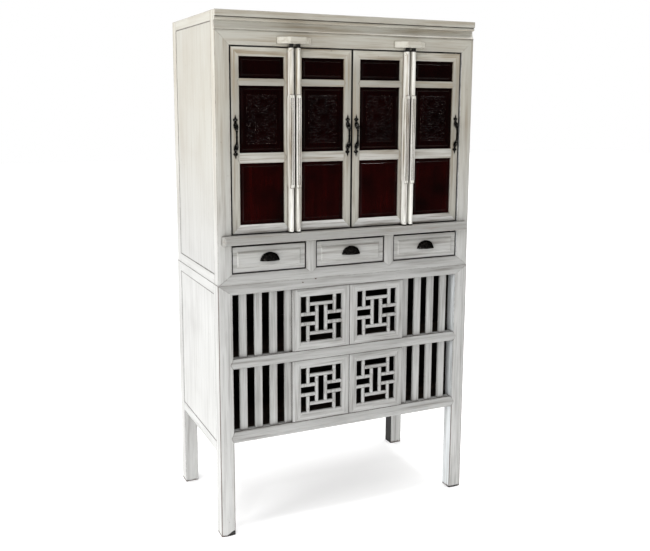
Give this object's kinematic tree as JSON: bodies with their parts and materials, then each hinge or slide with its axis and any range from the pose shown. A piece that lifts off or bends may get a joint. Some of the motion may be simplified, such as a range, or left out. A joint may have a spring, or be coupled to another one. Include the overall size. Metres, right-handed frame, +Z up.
{
  "type": "mizuya kitchen cabinet",
  "caption": "Tall two-part kitchen cabinet: pole-hinged panelled doors above, drawers below them, sliding lattice doors between fixed slats under that, on square legs.",
  "frame": {"origin": "on the floor under the middle of the overall box", "axes": "+X to the cabinet's right as seen from the front, +Y to its back, +Z up"},
  "size_m": [1.07, 0.615, 1.95],
  "materials": {
    "white_paint": "worn white paint over brown wood",
    "dark_lacquer": "glossy dark red lacquer",
    "blackened_metal": "blackened, worn",
    "bare_wood": "plain brown wood"
  },
  "bodies": {
    "cabinet": {"front_left_leg": "white_paint", "front_right_leg": "white_paint", "back_left_leg": "white_paint", "back_right_leg": "white_paint", "lower_top_rail": "white_paint", "lower_middle_rail": "white_paint", "lower_bottom_rail": "white_paint", "lower_side_rails": "white_paint", "lower_side_panels": "white_paint", "lower_back_rails": "bare_wood", "lower_back_panels": "bare_wood", "lower_top_board": "bare_wood", "lower_shelf": "bare_wood", "lower_floor": "bare_wood", "upper_row_slats": "white_paint", "lower_row_slats": "white_paint", "upper_front_posts": "white_paint", "upper_back_posts": "white_paint", "upper_top_rail": "white_paint", "sill_bar": "white_paint", "drawer_rail": "white_paint", "drawer_dividers": "white_paint", "drawer_guides": "bare_wood", "drawer_floor": "bare_wood", "upper_side_rails": "white_paint", "upper_side_panels": "white_paint", "upper_back_rails": "bare_wood", "upper_back_panels": "bare_wood", "cornice": "white_paint", "top_board": "white_paint", "left_pivot_bracket": "white_paint", "right_pivot_bracket": "white_paint", "cupboard_floor": "bare_wood", "cupboard_shelf": "bare_wood", "shelf_battens": "bare_wood"},
    "door_1": {"door_1_frame": "white_paint", "door_1_panels": "dark_lacquer", "door_1_pull": "blackened_metal"},
    "door_2": {"door_2_frame": "white_paint", "door_2_panels": "dark_lacquer", "door_2_pull": "blackened_metal"},
    "door_3": {"door_3_frame": "white_paint", "door_3_panels": "dark_lacquer", "door_3_pull": "blackened_metal"},
    "door_4": {"door_4_frame": "white_paint", "door_4_panels": "dark_lacquer", "door_4_pull": "blackened_metal"},
    "left_drawer": {"left_drawer_front": "white_paint", "left_drawer_box": "bare_wood", "left_drawer_pull": "blackened_metal"},
    "middle_drawer": {"middle_drawer_front": "white_paint", "middle_drawer_box": "bare_wood", "middle_drawer_pull": "blackened_metal"},
    "right_drawer": {"right_drawer_front": "white_paint", "right_drawer_box": "bare_wood", "right_drawer_pull": "blackened_metal"},
    "upper_left_lattice_door": {"upper_left_lattice_door": "white_paint"},
    "upper_right_lattice_door": {"upper_right_lattice_door": "white_paint"},
    "lower_left_lattice_door": {"lower_left_lattice_door": "white_paint"},
    "lower_right_lattice_door": {"lower_right_lattice_door": "white_paint"}
  },
  "joints": [
    {"name": "door_1_hinge", "type": "hinge", "parent": "cabinet", "child": "door_1", "pos_m": [-0.25275, -0.2755, 1.5], "axis": [0, 0, 1], "range_deg": [0, 85]},
    {"name": "door_2_hinge", "type": "hinge", "parent": "cabinet", "child": "door_2", "pos_m": [-0.22575, -0.2755, 1.5], "axis": [0, 0, -1], "range_deg": [0, 85]},
    {"name": "door_3_hinge", "type": "hinge", "parent": "cabinet", "child": "door_3", "pos_m": [0.22575, -0.2755, 1.5], "axis": [0, 0, 1], "range_deg": [0, 85]},
    {"name": "door_4_hinge", "type": "hinge", "parent": "cabinet", "child": "door_4", "pos_m": [0.25275, -0.2755, 1.5], "axis": [0, 0, -1], "range_deg": [0, 85]},
    {"name": "left_drawer_slide", "type": "slide", "parent": "cabinet", "child": "left_drawer", "axis": [0, -1, 0], "range_m": [0, 0.35]},
    {"name": "middle_drawer_slide", "type": "slide", "parent": "cabinet", "child": "middle_drawer", "axis": [0, -1, 0], "range_m": [0, 0.35]},
    {"name": "right_drawer_slide", "type": "slide", "parent": "cabinet", "child": "right_drawer", "axis": [0, -1, 0], "range_m": [0, 0.35]},
    {"name": "upper_left_lattice_slide", "type": "slide", "parent": "cabinet", "child": "upper_left_lattice_door", "axis": [-1, 0, 0], "range_m": [0, 0.2414]},
    {"name": "upper_right_lattice_slide", "type": "slide", "parent": "cabinet", "child": "upper_right_lattice_door", "axis": [1, 0, 0], "range_m": [0, 0.2414]},
    {"name": "lower_left_lattice_slide", "type": "slide", "parent": "cabinet", "child": "lower_left_lattice_door", "axis": [-1, 0, 0], "range_m": [0, 0.2414]},
    {"name": "lower_right_lattice_slide", "type": "slide", "parent": "cabinet", "child": "lower_right_lattice_door", "axis": [1, 0, 0], "range_m": [0, 0.2414]}
  ]
}
